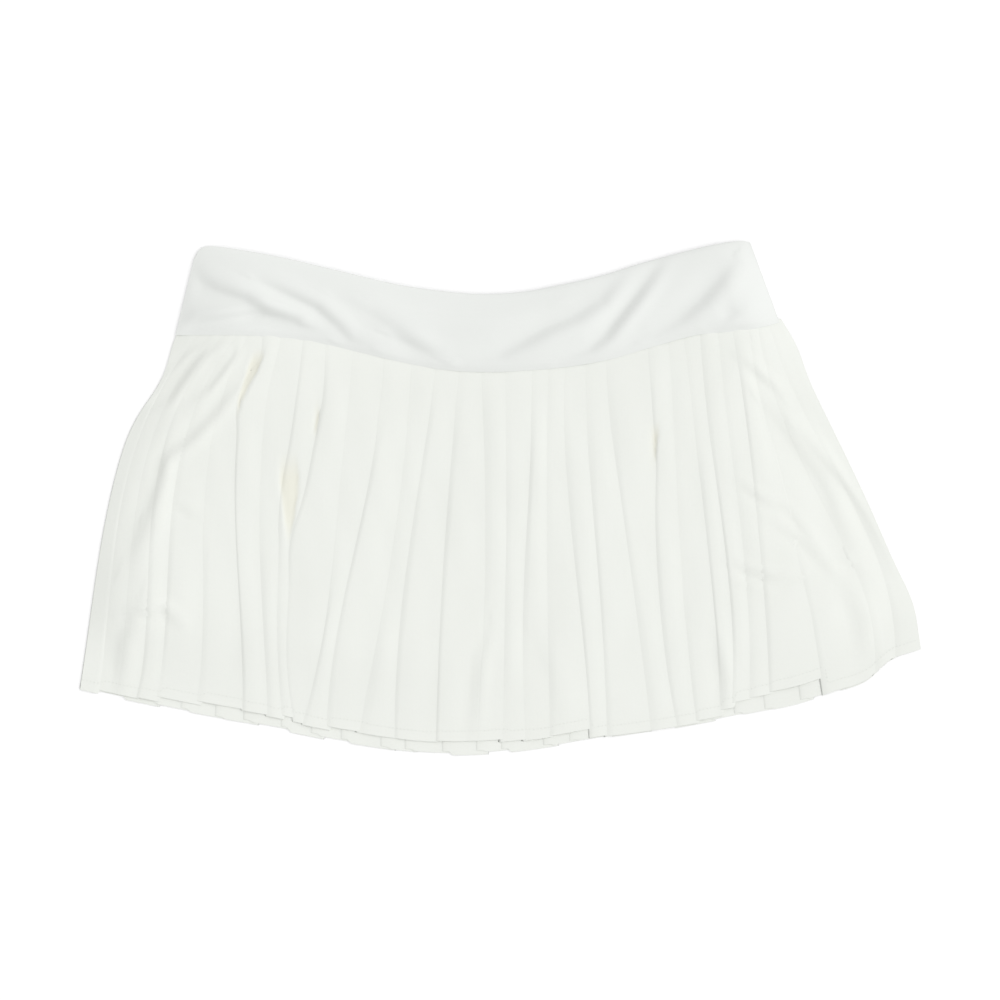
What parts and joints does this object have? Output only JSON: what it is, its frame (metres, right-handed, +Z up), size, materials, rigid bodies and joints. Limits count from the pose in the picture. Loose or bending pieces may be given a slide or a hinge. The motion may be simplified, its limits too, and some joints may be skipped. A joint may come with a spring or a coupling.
{
  "type": "pleated skort",
  "caption": "Knife-pleated sports skort with a deep knit waistband and plain inner shorts, laid flat with its front up.",
  "frame": {"origin": "centre of the overall box, on the surface that the garment lies on", "axes": "+X across the garment from its left side in view to its right, +Y from the hem to the waistband, +Z up from the surface, through the front"},
  "size_m": [0.657, 0.4021, 0.0107],
  "materials": {
    "pleated_cloth": "white crisp polyester plain weave with a faint sheen, heat-set knife pleats",
    "band_knit": "white smooth stretch jersey with a soft satin sheen",
    "shorts_knit": "white plain stretch knit, matt"
  },
  "bodies": {
    "root": {"waistband_front": "band_knit", "waistband_back": "band_knit", "skirt_front": "pleated_cloth", "skirt_back": "pleated_cloth", "shorts_front": "shorts_knit", "shorts_back": "shorts_knit"}
  },
  "joints": []
}
